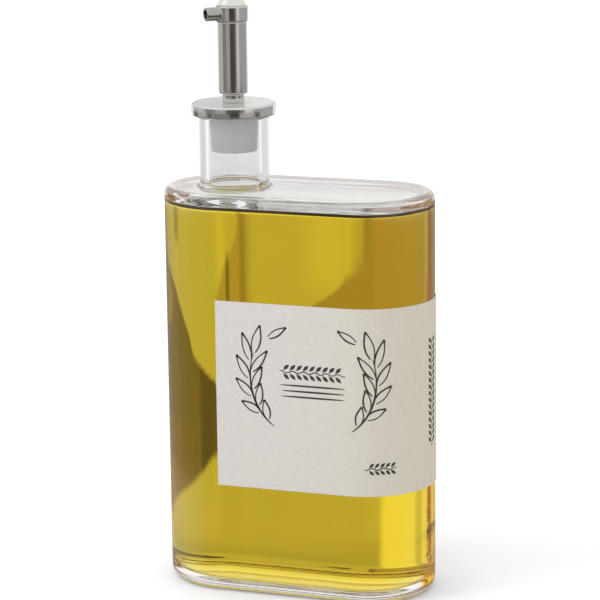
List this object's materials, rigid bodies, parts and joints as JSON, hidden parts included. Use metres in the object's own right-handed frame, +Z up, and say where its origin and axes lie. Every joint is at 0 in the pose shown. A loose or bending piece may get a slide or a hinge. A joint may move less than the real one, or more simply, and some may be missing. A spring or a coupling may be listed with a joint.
{
  "type": "glass oil dispenser",
  "caption": "Flat clear glass bottle with round ends, filled with olive oil, its off-centre neck stopped by a polished metal pourer with a side outlet, and a wrapped paper label.",
  "frame": {"origin": "centre of the bottle's base, on the surface it stands on", "axes": "+Z up; +X along the bottle's width, from the neck's end towards the labelled round end; -Y is the front, the side the label faces"},
  "size_m": [0.0783, 0.0386, 0.1675],
  "materials": {
    "clear_glass": "clear moulded bottle glass, thick walled, smooth and polished",
    "olive_oil": "clear golden yellow olive oil, a liquid",
    "label_paper": "uncoated cream paper, matt, with fine black print",
    "stopper_plastic": "soft greyish translucent plastic, smooth and slightly matt",
    "polished_metal": "polished stainless steel"
  },
  "bodies": {
    "root": {"bottle_glass": "clear_glass", "oil": "olive_oil", "label": "label_paper", "stopper": "stopper_plastic", "flange": "polished_metal", "pour_tube": "polished_metal", "spout_head": "polished_metal", "spout_cap": "polished_metal"}
  },
  "joints": []
}
